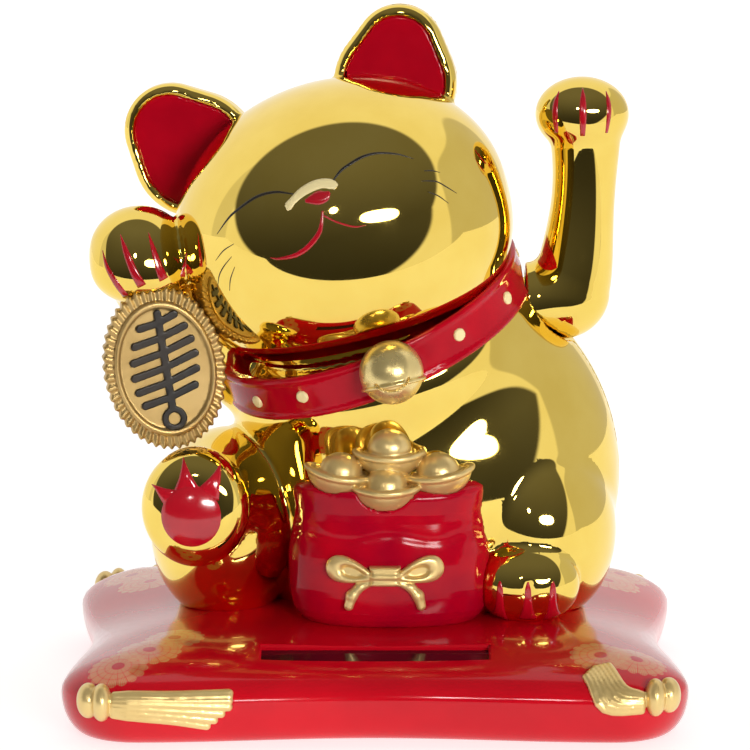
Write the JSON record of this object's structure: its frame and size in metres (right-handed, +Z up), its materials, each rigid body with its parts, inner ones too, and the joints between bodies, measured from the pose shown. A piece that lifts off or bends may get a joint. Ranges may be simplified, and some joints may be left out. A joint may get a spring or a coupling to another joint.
{
  "type": "beckoning cat figurine",
  "caption": "Gilt seated cat figurine on a tasselled cushion, holding an oval coin and a bag of ingots, with a waving forearm on a solar driven pendulum.",
  "frame": {"origin": "centre of the underside of the cushion, on the surface the figurine stands on", "axes": "+Z up, the cat faces -Y, +X runs towards the cat's raised left arm, which waves"},
  "size_m": [0.0992, 0.089, 0.1118],
  "materials": {
    "cushion_red": "metallised plastic under transparent red lacquer, mirror bright",
    "base_black": "moulded black plastic, fine texture",
    "cell_maroon": "amorphous cell glass, dark maroon, glossy",
    "mirror_gold": "vacuum metallised plastic, mirror bright yellow gold",
    "collar_red": "gloss red enamel over metallising",
    "bell_gold": "satin gold paint",
    "coin_gold": "satin gold paint, raised black ornament",
    "bag_red": "metallised plastic under deep red lacquer",
    "satin_gold": "satin gold paint",
    "paint_red": "gloss red paint",
    "paint_black": "black paint",
    "white_plastic": "natural white moulded plastic",
    "steel": "plated steel",
    "magnet_metal": "nickel plated magnet",
    "copper_wire": "enamelled copper wire",
    "board_green": "solder-masked laminate",
    "chip_black": "epoxy blob",
    "capacitor_blue": "aluminium can in a dark blue sleeve",
    "lead_red": "red insulated wire",
    "lead_black": "black insulated wire"
  },
  "bodies": {
    "figure": {"cushion_shell": "cushion_red", "base_plate": "base_black", "tassels": "satin_gold", "solar_cell": "cell_maroon", "body_front": "mirror_gold", "body_rear": "mirror_gold", "collar": "collar_red", "bell": "bell_gold", "koban_coin": "coin_gold", "money_bag": "bag_red", "gold_ingots": "satin_gold", "bag_bow": "satin_gold", "movement_frame": "white_plastic", "coil_bobbin": "white_plastic", "coil_winding": "copper_wire", "circuit_board": "board_green", "driver_chip": "chip_black", "capacitor": "capacitor_blue", "cell_lead_red": "lead_red", "cell_lead_black": "lead_black", "coil_leads": "copper_wire", "base_screws": "steel", "body_screws": "steel", "frame_screws": "steel", "board_screws": "steel"},
    "arm": {"arm_front": "mirror_gold", "arm_rear": "mirror_gold", "arm_hub": "white_plastic", "pivot_pin": "steel", "pendulum_lever": "white_plastic", "magnet": "magnet_metal", "counterweight": "steel"}
  },
  "joints": [
    {"name": "arm_swing", "type": "hinge", "parent": "figure", "child": "arm", "pos_m": [0, 0.007, 0.063], "axis": [1, 0, 0], "range_deg": [-20, 20]}
  ]
}
